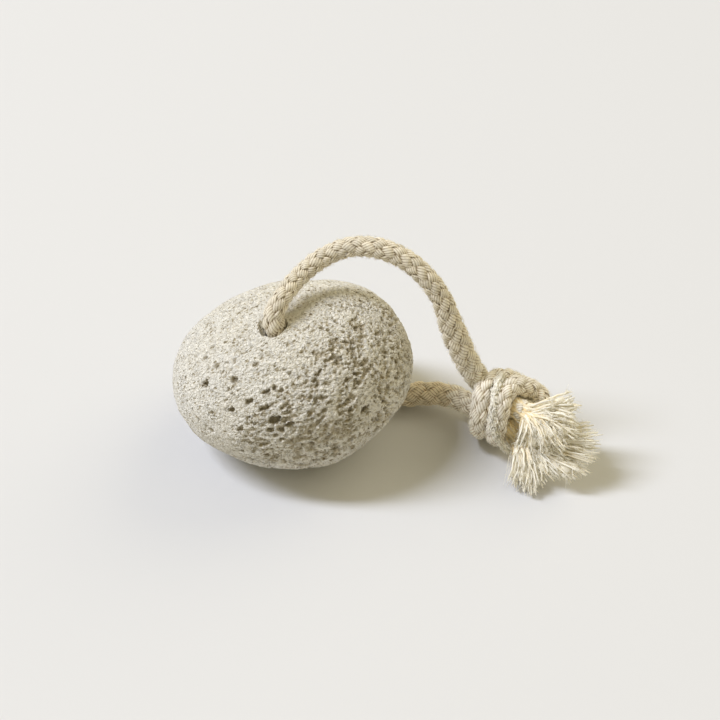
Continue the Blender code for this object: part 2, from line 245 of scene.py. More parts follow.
# The knot: its middle, the heading of its axis, and the rope's two routes in it, each point
# (mm along the axis, mm from the axis, degrees round it from the top towards the front,
# rope radius in mm).
KNOT_CENTRE = (69.0, -4.7, 13.0)
KNOT_HEADING = math.radians(-33.0)
KNOT_FROM_ARCH = (
    (-10.0, 8.2, 2, 4.0),
    (-5.5, 4.6, 4, 3.4),
    (-0.5, 3.0, -8, 2.9),
    (4.5, 3.3, -50, 2.9),
    (8.3, 5.6, -84, 3.1),
    (8.8, 8.4, -78, 3.4),
    (6.2, 9.3, -62, 3.6),
    (3.4, 9.3, -40, 3.6),
    (1.0, 9.3, -14, 3.6),
    (0.5, 9.2, 16, 3.6),
    (1.4, 9.2, 48, 3.6),
    (2.0, 9.2, 80, 3.6),
    (1.6, 9.2, 112, 3.6),
    (0.8, 9.2, 144, 3.6),
    (-0.4, 9.2, 178, 3.6),
    (-2.2, 9.0, 212, 3.5),
    (-4.2, 7.8, 244, 3.3),
    (-5.4, 5.2, 276, 3.0),
    (-3.4, 3.0, 320, 2.9),
    (0.6, 3.2, 372, 3.1),
    (4.4, 4.2, 374, 3.4),
    (8.0, 4.6, 376, 3.6),
)
KNOT_FROM_RETURN = (
    (-10.4, 5.2, 178, 3.8),
    (-6.0, 3.9, 186, 3.3),
    (-2.2, 3.6, 212, 2.9),
    (1.2, 5.4, 254, 3.0),
    (2.4, 8.2, 276, 3.4),
    (0.4, 9.3, 298, 3.6),
    (-2.6, 9.3, 320, 3.6),
    (-5.0, 9.3, 346, 3.6),
    (-6.3, 9.2, 376, 3.6),
    (-5.0, 9.2, 408, 3.6),
    (-4.2, 9.2, 440, 3.6),
    (-4.4, 9.2, 472, 3.6),
    (-5.4, 9.2, 504, 3.6),
    (-6.6, 9.2, 538, 3.6),
    (-8.4, 9.0, 572, 3.5),
    (-10.2, 7.4, 602, 3.2),
    (-9.6, 4.4, 640, 2.9),
    (-5.6, 2.6, 720, 2.8),
    (-1.6, 3.4, 800, 2.9),
    (2.4, 4.6, 838, 3.2),
    (6.2, 6.0, 856, 3.6),
)

# Frayed ends: tips of the locks of loose yarn past the knot, in mm.
UPPER_TIPS = (
    (90.0, -11.0, 26.0),
    (92.5, -15.0, 24.0),
    (90.5, -18.0, 22.0),
    (87.5, -22.0, 19.5),
    (84.5, -24.5, 17.5),
    (81.5, -24.0, 16.0),
    (79.0, -20.5, 14.5),
    (85.5, -13.0, 25.0),
    (85.0, -18.0, 22.0),
    (82.0, -18.5, 18.0),
)
# The upper end's lower locks, which hang in front of the knot and of the lower end.
CURTAIN_TIPS = (
    (74.0, -16.5, 11.5),
    (73.0, -17.5, 8.5),
    (75.0, -19.0, 7.0),
    (77.5, -20.5, 8.5),
    (80.0, -22.5, 10.5),
    (83.0, -24.5, 12.5),
    (87.5, -25.5, 15.0),
    (90.5, -23.0, 17.5),
    (92.5, -19.5, 20.0),
)
LOWER_TIPS = (
    (97.0, -18.0, 18.5),
    (99.0, -21.0, 18.5),
    (98.5, -23.5, 16.5),
    (98.0, -25.5, 14.5),
    (97.5, -27.5, 12.5),
    (95.0, -30.0, 9.5),
    (92.0, -31.5, 8.0),
    (89.0, -31.0, 7.0),
    (85.5, -29.5, 6.5),
    (82.5, -29.5, 5.5),
    (79.0, -31.0, 3.5),
    (76.0, -33.0, 2.5),
    (73.0, -31.5, 2.5),
    (69.5, -29.0, 2.5),
    (77.0, -23.5, 5.0),
    (91.0, -25.0, 9.5),
)
LOCK_RADII = (3.3, 2.6, 2.6, 1.9)
LOCK_RISE = 1.1
TAIL_COVERED = 4.0
FILLING_LOCKS = 20
CORE_SHARE = 0.66
YARNS_IN_LOCK = 10
FIBRES_IN_LOCK = 14
FRIZZ_ON_YARN = 6
LOCK_SPREAD = 1.08
LOCK_CORE_REACH = 0.84
LOCK_CORE_LIT = 0.6

# Loose fluff: short tips under the knot, and a felted strip round it as (mm along the knot's
# axis, degrees round it).
FLUFF_TIPS = (
    (75.0, -22.5, 6.0),
    (77.5, -24.5, 6.0),
    (72.0, -20.5, 6.5),
)
FELT_ROUTE = (
    (-3.5, -12),
    (-1.6, 20),
    (0.5, 45),
    (2.3, 78),
    (5.0, 100),
    (8.0, 125),
)
FELT_OUT = 13.0
FELT_HAIRS = 700
FUZZ_PER_MM = 22


# --- Lines and meshes ---------------------------------------------------------------------


def smooth_line(points, step):
    """Points about a step apart on the centripetal Catmull-Rom curve through rows of
    (x, y, z, radius)."""
    first = [2 * a - b for a, b in zip(points[0], points[1])]
    last = [2 * a - b for a, b in zip(points[-1], points[-2])]
    rows = [Vector(p) for p in (first, *points, last)]
    line = [rows[1]]
    for a, b, c, d in zip(rows, rows[1:], rows[2:], rows[3:]):
        t1 = (b - a).xyz.length ** 0.5
        t2 = t1 + (c - b).xyz.length ** 0.5
        t3 = t2 + (d - c).xyz.length ** 0.5
        count = max(1, round((c - b).xyz.length / step))
        for i in range(1, count + 1):
            t = t1 + (t2 - t1) * i / count
            ab = a * ((t1 - t) / t1) + b * (t / t1)
            bc = b * ((t2 - t) / (t2 - t1)) + c * ((t - t1) / (t2 - t1))
            cd = c * ((t3 - t) / (t3 - t2)) + d * ((t - t2) / (t3 - t2))
            left = ab * ((t2 - t) / t2) + bc * (t / t2)
            right = bc * ((t3 - t) / (t3 - t1)) + cd * ((t - t1) / (t3 - t1))
            line.append(left * ((t2 - t) / (t2 - t1)) + right * ((t - t1) / (t2 - t1)))
    return line


def knot_point(along, out, degrees):
    """Point, in mm, of a place given round the knot's axis."""
    axis = Vector((math.cos(KNOT_HEADING), math.sin(KNOT_HEADING), 0.0))
    front = Vector((math.sin(KNOT_HEADING), -math.cos(KNOT_HEADING), 0.0))
    turn = math.radians(degrees)
    ring = Vector((0.0, 0.0, math.cos(turn))) + front * math.sin(turn)
    return Vector(KNOT_CENTRE) + axis * along + ring * out


class Line:
    """A centre line with its radius and a frame that doesn't twist, read by arc length."""

    def __init__(self, rows, step=0.25):
        table = np.array([tuple(row) for row in smooth_line(rows, step)])
        self.centre = table[:, :3]
        self.radius = table[:, 3]
        lengths = np.linalg.norm(np.diff(self.centre, axis=0), axis=1)
        self.along = np.concatenate(([0.0], np.cumsum(lengths)))
        self.length = self.along[-1]
        ahead = np.gradient(self.centre, self.along, axis=0)
        self.ahead = ahead / np.linalg.norm(ahead, axis=1)[:, None]
        start = np.cross(self.ahead[0], (0.31, 0.95, 0.05))
        side = [start / np.linalg.norm(start)]
        for direction in self.ahead[1:]:
            carried = side[-1] - direction * side[-1].dot(direction)
            side.append(carried / np.linalg.norm(carried))
        self.side = np.array(side)
        self.up = np.cross(self.ahead, self.side)

    def read(self, table, along):
        return np.stack([np.interp(along, self.along, part) for part in table.T], axis=-1)

    def radius_at(self, along):
        return np.interp(along, self.along, self.radius)

    def place(self, along, turn, out):
        """Points at a distance along the line, an angle round it and a distance out of it."""
        side = self.read(self.side, along) * np.cos(turn)[..., None]
        up = self.read(self.up, along) * np.sin(turn)[..., None]
        return self.read(self.centre, along) + (side + up) * out[..., None]

    def nearest(self, point):
        """Arc length of the place on the line that is nearest to a point."""
        away = np.linalg.norm(self.centre - np.array(point[:3]), axis=1)
        return self.along[np.argmin(away)]


def add_object(name, mesh):
    made = bpy.data.objects.new(name, mesh)
    bpy.context.scene.collection.objects.link(made)
    return made


def keep_values(mesh, layer, values):
    """One number for each point, which materials read by its name."""
    kept = mesh.attributes.new(layer, "FLOAT", "POINT")
    kept.data.foreach_set("value", values.astype(np.float32))


def dress(made, finish):
    """Give a piece its material and the body that it moves with."""
    made.data.materials.append(finish)
    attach(made, "root")
    return made


class Strips:
    """Closed tubes gathered into one mesh, with a few numbers kept at each point."""

    def __init__(self):
        self.points = []
        self.faces = []
        self.values = []
        self.count = 0

    def add(self, rings, values):
        """One tube of shape (rings, points round, 3), and as many rows of values."""
        length, around = rings.shape[:2]
        index = np.arange(length * around).reshape(length, around) + self.count
        beyond = np.roll(index, -1, axis=1)
        sides = np.stack([index[:-1], beyond[:-1], beyond[1:], index[1:]], axis=-1)
        self.faces.extend(sides.reshape(-1, 4).tolist())
        self.faces.append(index[0][::-1].tolist())
        self.faces.append(index[-1].tolist())
        self.points.append(rings.reshape(-1, 3))
        self.values.append(values.reshape(length * around, -1))
        self.count += length * around

    def add_many(self, paths, half, sides, lit, tone):
        """Thin tubes along paths of shape (tubes, points, 3), their half widths and how lit
        they are given at each point, and one tone for each."""
        ahead = np.gradient(paths, axis=1)
        ahead = ahead / np.maximum(np.linalg.norm(ahead, axis=2, keepdims=True), 1e-9)
        side = np.cross(ahead, (0.21, 0.34, 0.92))
        side = side / np.maximum(np.linalg.norm(side, axis=2, keepdims=True), 1e-9)
        up = np.cross(ahead, side)
        turn = np.linspace(0.0, math.tau, sides, endpoint=False)[None, None, :, None]
        ring = side[:, :, None] * np.cos(turn) + up[:, :, None] * np.sin(turn)
        rings = paths[:, :, None] + ring * half[:, :, None, None]
        lit = np.broadcast_to(lit[:, :, None], rings.shape[:3])
        tone = np.broadcast_to(tone[:, None, None], rings.shape[:3])
        values = np.stack([lit, tone], axis=-1)
        for tube, value in zip(rings, values):
            self.add(tube, value)

    def make(self, name, layers):
        """The mesh object, its values kept as named point attributes."""
        mesh = bpy.data.meshes.new(name)
        mesh.from_pydata((np.concatenate(self.points) * MM).tolist(), [], self.faces)
        values = np.concatenate(self.values)
        for number, layer in enumerate(layers):
            keep_values(mesh, layer, values[:, number])
        mesh.shade_smooth()
        return add_object(name, mesh)


# --- Materials ----------------------------------------------------------------------------


def node(tree, kind, inputs=None, **settings):
    """A new node, its settings made and its inputs joined or set."""
    made = tree.nodes.new(kind)
    for name, value in settings.items():
        setattr(made, name, value)
    for name, value in (inputs or {}).items():
        if isinstance(value, bpy.types.NodeSocket):
            tree.links.new(value, made.inputs[name])
        else:
            made.inputs[name].default_value = value
    return made


def calc(tree, operation, *values, clamp=False):
    made = tree.nodes.new("ShaderNodeMath")
    made.operation = operation
    made.use_clamp = clamp
    for socket, value in zip(made.inputs, values):
        if isinstance(value, bpy.types.NodeSocket):
            tree.links.new(value, socket)
        else:
            socket.default_value = value
    return made.outputs[0]


def blend(tree, factor, first, second, mode="MIX"):
    """One colour mixed into another."""
    made = tree.nodes.new("ShaderNodeMix")
    made.data_type = "RGBA"
    made.blend_type = mode
    named = {socket.identifier: socket for socket in made.inputs}
    for name, value in (("Factor_Float", factor), ("A_Color", first), ("B_Color", second)):
        if isinstance(value, bpy.types.NodeSocket):
            tree.links.new(value, named[name])
        else:
            named[name].default_value = value
    return next(socket for socket in made.outputs if socket.identifier == "Result_Color")


def steps(tree, value, low, high):
    """A value taken smoothly from 0 at low to 1 at high."""
    inputs = {"Value": value, "From Min": low, "From Max": high}
    made = node(tree, "ShaderNodeMapRange", inputs, interpolation_type="SMOOTHSTEP")
    return made.outputs["Result"]


def noise_in(tree, place, scale, detail, roughness=0.5):
    inputs = {"Vector": place, "Scale": scale, "Detail": detail, "Roughness": roughness}
    return node(tree, "ShaderNodeTexNoise", inputs)


def in_mm(tree, turn=(0.0, 0.0, 0.0), stretch=(1.0, 1.0, 1.0)):
    """Object coordinates in mm, turned and then drawn out along their axes."""
    place = node(tree, "ShaderNodeTexCoord").outputs["Object"]
    turned = node(tree, "ShaderNodeMapping", {"Vector": place, "Rotation": turn})
    scale = tuple(1.0 / (MM * part) for part in stretch)
    return node(tree, "ShaderNodeMapping", {"Vector": turned.outputs[0], "Scale": scale}).outputs[0]


def group(name, inputs, outputs):
    """A shader node group with named sockets: its tree, its input node and its output node."""
    tree = bpy.data.node_groups.new(name, "ShaderNodeTree")
    for title, kind, value in inputs:
        socket = tree.interface.new_socket(title, in_out="INPUT", socket_type=kind)
        if value is not None:
            socket.default_value = value
    for title, kind in outputs:
        tree.interface.new_socket(title, in_out="OUTPUT", socket_type=kind)
    return tree, tree.nodes.new("NodeGroupInput"), tree.nodes.new("NodeGroupOutput")


def place_group(tree, made, inputs):
    return node(tree, "ShaderNodeGroup", inputs, node_tree=made)


def pore_group():
    """One size of small round pores: how deep each place is in one, from 0 to 1."""
    sockets = (
        ("Vector", "NodeSocketVector", None),
        ("Scale", "NodeSocketFloat", 1.0),
        ("Share", "NodeSocketFloat", 0.5),
    )
    tree, given, out = group("small_pores", sockets, (("Depth", "NodeSocketFloat"),))
    inputs = {"Vector": given.outputs["Vector"], "Scale": given.outputs["Scale"]}
    cells = node(tree, "ShaderNodeTexVoronoi", inputs, feature="F1")
    lot = node(tree, "ShaderNodeSeparateColor", {"Color": cells.outputs["Color"]})
    chosen = calc(tree, "LESS_THAN", lot.outputs["Red"], given.outputs["Share"])
    size = calc(tree, "MULTIPLY_ADD", lot.outputs["Green"], 0.26, 0.16)
    away = calc(tree, "DIVIDE", cells.outputs["Distance"], size)
    inside = calc(tree, "SUBTRACT", 1.0, away, clamp=True)
    depth = calc(tree, "POWER", inside, 0.6)
    tree.links.new(calc(tree, "MULTIPLY", depth, chosen), out.inputs["Depth"])
    return tree


def cotton_group():
    """Unbleached cotton: pale where it stands out, ochre in the gaps as painted shade, a little uneven.
    """
    sockets = (
        ("Painted Light", "NodeSocketFloat", 1.0),
        ("Tone", "NodeSocketFloat", 0.5),
        ("Pale", "NodeSocketColor", (0.7, 0.6, 0.45, 1.0)),
        ("Deep", "NodeSocketColor", (0.4, 0.3, 0.15, 1.0)),
    )
    outputs = (("Color", "NodeSocketColor"), ("Height", "NodeSocketFloat"))
    tree, given, out = group("cotton", sockets, outputs)
    place = in_mm(tree)
    patches = noise_in(tree, place, 0.16, 2.0)
    fuzz = noise_in(tree, place, 3.2, 4.0, 0.7)
    # Painted shade: from the deep colour where a point is given as shaded to the pale one where it is
    # given as lit.
    gap = steps(tree, given.outputs["Painted Light"], 0.05, 0.75)
    mixed = blend(tree, gap, given.outputs["Deep"], given.outputs["Pale"])
    bright = calc(tree, "MULTIPLY_ADD", given.outputs["Tone"], 0.22, 0.82)
    bright = calc(tree, "MULTIPLY_ADD", patches.outputs["Fac"], 0.16, bright)
    bright = calc(tree, "MULTIPLY_ADD", fuzz.outputs["Fac"], 0.10, calc(tree, "SUBTRACT", bright, 0.05))
    shade = node(tree, "ShaderNodeCombineColor", {"Red": bright, "Green": bright, "Blue": bright})
    tree.links.new(blend(tree, 1.0, mixed, shade.outputs[0], "MULTIPLY"), out.inputs["Color"])
    tree.links.new(fuzz.outputs["Fac"], out.inputs["Height"])
    return tree


def new_material(name):
    made = bpy.data.materials.new(name)
    made.use_nodes = True
    return made, made.node_tree, made.node_tree.nodes["Principled BSDF"]


def pumice_material():
    made, tree, shader = new_material("pumice")
    pores = pore_group()
    turn = (0.0, math.radians(30.0), math.radians(-8.0))
    straight = in_mm(tree, turn, (GRAIN_STRETCH, 1.0, 1.0))
    plain = in_mm(tree)
    bend = noise_in(tree, plain, 0.9, 2.0)
    place = blend(tree, 0.6, straight, bend.outputs["Color"], "LINEAR_LIGHT")
    thick = node(tree, "ShaderNodeAttribute", attribute_name="pitting").outputs["Fac"]
    pit_stain_and_shade = node(tree, "ShaderNodeAttribute", attribute_name="pit_stain_and_shade").outputs["Fac"]
    patchy = noise_in(tree, straight, 0.16, 2.0)
    patch = calc(tree, "MULTIPLY_ADD", steps(tree, patchy.outputs["Fac"], 0.40, 0.62), 1.2, 0.3)
    wide_share = calc(tree, "MULTIPLY", calc(tree, "MULTIPLY_ADD", thick, 0.36, 0.08), patch)
    fine_share = calc(tree, "MULTIPLY", calc(tree, "MULTIPLY_ADD", thick, 0.50, 0.22), patch)
    sizes = ((0.65, wide_share), (1.0, fine_share), (1.6, fine_share))
    inputs = [{"Vector": place, "Scale": scale, "Share": share} for scale, share in sizes]
    wide, fine, dust = (place_group(tree, pores, given).outputs["Depth"] for given in inputs)
    grain = noise_in(tree, place, 1.05, 2.0, 0.8).outputs["Fac"]
    cloud = noise_in(tree, plain, 0.07, 3.0)

    height = calc(tree, "MULTIPLY", wide, -0.65)
    height = calc(tree, "MULTIPLY_ADD", fine, -0.55, height)
    height = calc(tree, "MULTIPLY_ADD", dust, -0.30, height)
    height = calc(tree, "MULTIPLY_ADD", grain, 2.0, height)
    bump = node(tree, "ShaderNodeBump", {"Height": height, "Strength": 1.0, "Distance": MM})

    body = blend(tree, steps(tree, cloud.outputs["Fac"], 0.35, 0.68), CREAM, GREY)
    body = blend(tree, calc(tree, "MULTIPLY", thick, 0.35), body, GREY)
    # Ochre where the grain sinks low: partly the stone's own tone, partly painted shade in the hollows
    # of its bumped relief.
    speck = steps(tree, grain, 0.32, 0.45)
    grain_hollow_tint_and_shade = calc(tree, "SUBTRACT", 0.48, calc(tree, "MULTIPLY", speck, 0.48))
    body = blend(tree, grain_hollow_tint_and_shade, body, OCHRE_TINT_AND_SHADE)
    # Ochre and brown in the pores and pits: partly the stone's own stain, partly painted shade deep in
    # them.
    small = calc(tree, "MAXIMUM", wide, calc(tree, "MAXIMUM", fine, dust))
    pore_stains_and_shade = (
        (small, 0.05, 0.5, 0.78, OCHRE_TINT_AND_SHADE),
        (wide, 0.45, 0.9, 0.8, BROWN_STAIN_AND_SHADE),
        (pit_stain_and_shade, 0.15, 0.6, 0.6, OCHRE_TINT_AND_SHADE),
        (pit_stain_and_shade, 0.55, 1.1, 0.5, BROWN_STAIN_AND_SHADE),
    )
    for depth, low, high, strength, colour in pore_stains_and_shade:
        mask = calc(tree, "MULTIPLY", steps(tree, depth, low, high), strength)
        body = blend(tree, mask, body, colour)
    tree.links.new(body, shader.inputs["Base Color"])
    tree.links.new(bump.outputs["Normal"], shader.inputs["Normal"])
    shader.inputs["Roughness"].default_value = 0.95
    shader.inputs["Specular IOR Level"].default_value = 0.15
    return made


def cotton_material(name, cotton, pale, deep, nap, gloss):
    made, tree, shader = new_material(name)
    painted_light = node(tree, "ShaderNodeAttribute", attribute_name="painted_light").outputs["Fac"]
    tone = node(tree, "ShaderNodeAttribute", attribute_name="tone").outputs["Fac"]
    inputs = {"Painted Light": painted_light, "Tone": tone, "Pale": (*pale, 1.0), "Deep": (*deep, 1.0)}
    yarn = place_group(tree, cotton, inputs)
    inputs = {"Height": yarn.outputs["Height"], "Strength": 1.0, "Distance": nap * MM}
    bump = node(tree, "ShaderNodeBump", inputs)
    tree.links.new(yarn.outputs["Color"], shader.inputs["Base Color"])
    tree.links.new(bump.outputs["Normal"], shader.inputs["Normal"])
    shader.inputs["Roughness"].default_value = 0.9
    shader.inputs["Specular IOR Level"].default_value = gloss
    shader.inputs["Sheen Weight"].default_value = 0.5 * gloss
    shader.inputs["Sheen Roughness"].default_value = 0.6
    return made


def floor_material():
    made, _, shader = new_material("studio_floor")
    shader.inputs["Base Color"].default_value = (FLOOR_GREY, FLOOR_GREY, FLOOR_GREY, 1.0)
    shader.inputs["Roughness"].default_value = 0.9
    shader.inputs["Specular IOR Level"].default_value = 0.1
    return made


# --- Rope ---------------------------------------------------------------------------------


def strand_section():
    """Outline of a flat strand of yarns side by side: (across, thick, crest) round it."""
    rows = []
    for i in range(2 * YARNS + 1):
        across = -0.5 + i / (2 * YARNS)
        crest = i % 2
        bulge = math.sqrt(1.0 - (1.85 * across) ** 2)
        rows.append((across, (0.5 if crest else 0.30) * bulge, crest))
    rows += [(0.34, -0.38, 0.0), (-0.34, -0.38, 0.0)]
    return np.array(rows)


def braid(strips, line, along, rng):
    """Strands round the line at those arc lengths, one over and one under."""
    section = strand_section()
    radius = line.radius_at(along)
    crossing = 2 * STRANDS_EACH_WAY * along / LEAD
    slant = np.arctan(math.tau * radius / LEAD)
    thick = 0.38 * radius
    width = math.tau * radius / STRANDS_EACH_WAY * np.cos(slant) * 1.20
    for hand in (1, -1):
        for number in range(STRANDS_EACH_WAY):
            over = hand * np.cos(math.pi * crossing)
            spots = [Vector((s / 9.0, 7.3 * number, 3.1 * hand)) for s in along]
            drift = np.array([noise.noise(spot) for spot in spots])
            turn = hand * math.tau * along / LEAD + math.tau * number / STRANDS_EACH_WAY
            turn = turn + 0.07 * drift
            own_width = width * (1.0 + 0.12 * rng.uniform(-1.0, 1.0))
            middle = radius - thick / 2 - 0.52 * thick * (1.0 - over) + 0.05 * radius * drift
            across = section[None, :, 0] * own_width[:, None]
            shifted = along[:, None] - hand * across * np.sin(slant)[:, None]
            turned = turn[:, None] + across * (np.cos(slant) / radius)[:, None]
            out = middle[:, None] + section[None, :, 1] * thick[:, None]
            rings = line.place(shifted, turned, out)
            # Painted shade: darker in the valleys between yarns and where the strand dips under its
            # crossing strands.
            lit = (0.34 + 0.66 * section[None, :, 2]) * (0.46 + 0.54 * over)[:, None]
            tone = np.full(rings.shape[:2], rng.random())
            strips.add(rings, np.stack([lit, tone], axis=-1))


def core(strips, line, along):
    """The inside of the rope, which closes the gaps between its strands; its deep colour is painted
    shade in those gaps.
    """
    turn = np.linspace(0.0, math.tau, CORE_SIDES, endpoint=False)[None, :]
    spread = along[:, None]
    out = CORE_OUT * line.radius_at(spread)
    rings = line.place(spread + 0 * turn, turn + 0 * spread, out + 0 * turn)
    strips.add(rings, np.full((*rings.shape[:2], 2), 0.12))


def rope_piece(name, line, along, seed, cloth):
    strips = Strips()
    braid(strips, line, along, random.Random(seed))
    core(strips, line, along[::2] if len(along) % 2 else np.append(along[::2], along[-1]))
    return dress(strips.make(name, ("painted_light", "tone")), cloth)


def stretch_stops(start, visible, end):
    """Arc lengths: wide apart where the rope is hidden in the hole, close where it shows."""
    hidden = np.arange(start, visible, HIDDEN_STEP)
    shown = np.linspace(visible, end, round((end - visible) / BRAID_STEP) + 1)
    return np.concatenate([hidden, shown])


# --- Frayed ends --------------------------------------------------------------------------


def lock_rows(last, heading, tip):
    """A lock of yarn: out of the rope's end along its heading, then over to its tip."""
    reach = (tip - last).length
    root = last + heading * 0.6 + (tip - last) * (1.6 / reach)
    middle = root.lerp(tip, 0.5) + heading * 0.08 * reach + Vector((0.0, 0.0, LOCK_RISE))
    points = (last - heading * TAIL_COVERED, root, middle, tip)
    return [(*point, radius) for point, radius in zip(points, LOCK_RADII)]


def crimped(paths, rng, size, period):
    """The paths with small waves on them, as yarn keeps from its braid."""
    count, points = paths.shape[:2]
    along = np.linalg.norm(np.diff(paths, axis=1), axis=2).cumsum(axis=1)
    along = np.concatenate([np.zeros((count, 1)), along], axis=1)
    shift = rng.uniform(0.0, math.tau, (count, 1, 3))
    waves = np.sin(math.tau * along[..., None] / period + shift)
    fade = np.linspace(0.0, 1.0, points)[None, :, None] ** 0.5
    return paths + waves * size * fade


def lock_core(strips, lock):
    """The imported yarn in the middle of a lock, which closes the gaps between those outside."""
    around = np.linspace(0.0, math.tau, 8, endpoint=False)[None, :]
    along = np.linspace(0.0, LOCK_CORE_REACH, 10)[:, None] * lock.length
    shrunk = CORE_SHARE * lock.radius_at(along) * np.linspace(1.0, 0.4, 10)[:, None] ** 0.5
    rings = lock.place(along + 0 * around, around + 0 * along, shrunk + 0 * around)
    rings[..., 2] = np.maximum(rings[..., 2], 0.0)
    strips.add(rings, np.full((*rings.shape[:2], 2), LOCK_CORE_LIT))


def lock_yarns(strips, lock, rng):
    """The thick yarns of a lock. Gives their paths."""
    part = np.linspace(0.0, 1.0, 12)[None, :]
    turn = rng.uniform(0.0, math.tau, (YARNS_IN_LOCK, 1))
    share = 0.92 * np.sqrt(rng.random((YARNS_IN_LOCK, 1)))
    end = lock.length * rng.uniform(0.80, 0.99, (YARNS_IN_LOCK, 1))
    along = end * part
    yarns = lock.place(along, turn + 0.25 * part, share * lock.radius_at(along) * LOCK_SPREAD)
    yarns = crimped(yarns, rng, 0.16, 3.4)
    tone = rng.random(YARNS_IN_LOCK)
    half = rng.uniform(0.24, 0.40, (YARNS_IN_LOCK, 1)) * (1.0 - 0.30 * part**4)
    # Painted shade: darker towards the root, deep in the lock, and paler towards the tip.
    lit = np.clip(0.10 + 0.65 * part + 0.15 * rng.normal(size=share.shape), 0.0, 1.0)
    yarns[..., 2] = np.maximum(yarns[..., 2], half)
    strips.add_many(yarns, half, 5, lit, tone)
    return yarns


def lock_fibres(strips, lock, rng):
    """The thin fibres that stray from the yarns of a lock."""
    part = np.linspace(0.0, 1.0, 9)[None, :]
    count = FIBRES_IN_LOCK
    turn = rng.uniform(0.0, math.tau, (count, 1)) + rng.normal(0.0, 0.5, (count, 1)) * part
    share = np.sqrt(rng.random((count, 1))) * (0.95 + 0.35 * rng.random((count, 1)) * part**2)
    start = lock.length * rng.uniform(0.0, 0.5, (count, 1))
    end = lock.length * rng.uniform(0.80, 1.02, (count, 1))
    along = start + (end - start) * part
    hairs = lock.place(along, turn, share * lock.radius_at(along) * LOCK_SPREAD)
    hairs = crimped(hairs, rng, 0.18, 2.6)
    half = rng.uniform(0.05, 0.10, (count, 1)) * (1.0 - 0.4 * part)
    # Painted shade: darker towards the root, deep in the lock, and paler towards the tip.
    lit = np.clip(0.2 + 0.7 * part + 0.15 * rng.normal(size=share.shape), 0.0, 1.0)
    hairs[..., 2] = np.maximum(hairs[..., 2], half)
    strips.add_many(hairs, half, 3, lit, rng.random(count))


def yarn_frizz(strips, yarns, rng):
    """Short hairs that open out at the tip of each yarn."""
    part = np.linspace(0.0, 1.0, 5)[None, :, None]
    tips = np.repeat(yarns[:, -2:], FRIZZ_ON_YARN, axis=0)
    ahead = tips[:, 1] - tips[:, 0]
    ahead = ahead / np.linalg.norm(ahead, axis=1)[:, None]
    spread = ahead + rng.normal(0.0, 0.55, ahead.shape)
    curl = rng.normal(0.0, 0.45, ahead.shape)
    length = rng.uniform(0.7, 1.7, (len(ahead), 1, 1))
    frizz = tips[:, 0][:, None] + (spread[:, None] * part + curl[:, None] * part**2) * length
    half = rng.uniform(0.07, 0.12, (len(ahead), 1)) * (1.0 - 0.4 * part[..., 0])
    frizz[..., 2] = np.maximum(frizz[..., 2], half)
    strips.add_many(frizz, half, 3, np.ones(half.shape), rng.random(len(ahead)))


def frayed_end(name, tied_rows, tips, seed, cloth):
    rng = np.random.default_rng(seed)
    line = smooth_line(tied_rows, 1.0)
    last, before = line[-1].xyz, line[-4].xyz
    heading = (last - before).normalized()
    ends = [Vector(tip) for tip in tips]
    for _ in range(FILLING_LOCKS):
        one, other = rng.choice(len(tips), 2, replace=False)
        between = ends[one].lerp(ends[other], rng.uniform(0.2, 0.8))
        ends.append(last.lerp(between, rng.uniform(0.6, 0.95)))
    strips = Strips()
    for end in ends:
        lock = Line(lock_rows(last, heading, end))
        lock_core(strips, lock)
        yarns = lock_yarns(strips, lock, rng)
        lock_fibres(strips, lock, rng)
        yarn_frizz(strips, yarns, rng)
    return dress(strips.make(name, ("painted_light", "tone")), cloth)


def fuzz(strips, line, start, end, rng):
    """Short hairs that stand off a stretch of rope."""
    count = round(FUZZ_PER_MM * (end - start))
    part = np.linspace(0.0, 1.0, 4)[None, :]
    along = rng.uniform(start, end, (count, 1)) + rng.normal(0.0, 0.6, (count, 1)) * part
    turn = rng.uniform(0.0, math.tau, (count, 1)) + rng.normal(0.0, 0.22, (count, 1)) * part
    lift = rng.uniform(0.15, 0.75, (count, 1)) * np.sin(part * rng.uniform(1.2, 2.8, (count, 1)))
    out = 0.93 * line.radius_at(along) + lift
    paths = line.place(along, turn, out)
    half = rng.uniform(0.025, 0.05, (count, 1)) * (1.0 - 0.4 * part)
    paths[..., 2] = np.maximum(paths[..., 2], half)
    strips.add_many(paths, half, 3, np.ones(half.shape), rng.random(count))


def felt(strips, rng):
    """Matted hairs in a strip round the knot."""
    rows = np.array(FELT_ROUTE, float)
    place = rng.uniform(0.0, len(rows) - 1.0, (FELT_HAIRS, 1))
    place = place + np.linspace(-0.25, 0.25, 7)[None, :]
    along = np.interp(place, np.arange(len(rows)), rows[:, 0])
    round_it = np.interp(place, np.arange(len(rows)), rows[:, 1])
    aside = rng.normal(0.0, 0.65, (FELT_HAIRS, 1))
    along = along + aside
    out = FELT_OUT - 0.5 * np.abs(aside) - rng.uniform(0.0, 0.8, (FELT_HAIRS, 1)) + 0.0 * along
    paths = [[knot_point(*spot) for spot in zip(*row)] for row in zip(along, out, round_it)]
    paths = crimped(np.array(paths), rng, 0.5, 2.4)
    half = rng.uniform(0.12, 0.26, (FELT_HAIRS, 1)) * np.sin(np.linspace(0.5, 2.6, 7))[None, :]
    paths[..., 2] = np.maximum(paths[..., 2], half)
    strips.add_many(paths, half, 3, np.ones(half.shape), rng.random(FELT_HAIRS))


def fluffy_piece(name, strips, cloth):
    return dress(strips.make(name, ("painted_light", "tone")), cloth)


# --- Stone --------------------------------------------------------------------------------


def at_angles(around, up):
    """Unit vector so many degrees round from +X towards +Y and up from the level."""
    around, up = math.radians(around), math.radians(up)
    return Vector((math.cos(up) * math.cos(around), math.cos(up) * math.sin(around), math.sin(up)))


